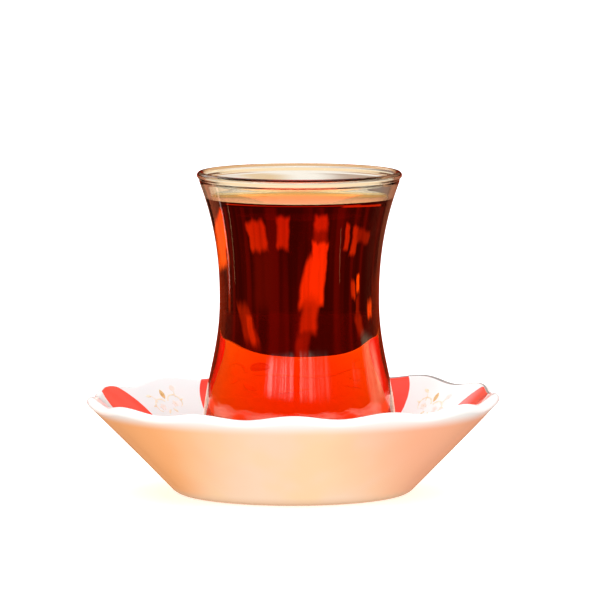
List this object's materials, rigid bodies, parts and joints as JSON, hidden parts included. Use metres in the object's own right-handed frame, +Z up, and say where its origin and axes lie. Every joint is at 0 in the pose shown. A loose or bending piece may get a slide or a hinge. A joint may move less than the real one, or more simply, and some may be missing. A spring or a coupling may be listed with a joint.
{
  "type": "turkish tea glass on a saucer",
  "caption": "Small waisted glass of black tea, narrow in the middle with a flared rim, standing on a scalloped porcelain saucer with a band pattern inside.",
  "frame": {"origin": "middle of the whole outline seen from above, 0.55 mm in front of the axis of the saucer's foot, on the surface it stands on", "axes": "+Z up through the glass, -Y towards the viewer of the picture, +X to the right as seen there"},
  "size_m": [0.1162, 0.1158, 0.0908],
  "materials": {
    "porcelain": "glossy glaze, white inside with red bands and small gold sprigs, warm cream outside",
    "clear_glass": "polished clear glass",
    "tea": "clear red-brown brewed tea, a liquid"
  },
  "bodies": {
    "root": {"saucer": "porcelain", "glass": "clear_glass", "tea": "tea"}
  },
  "joints": []
}
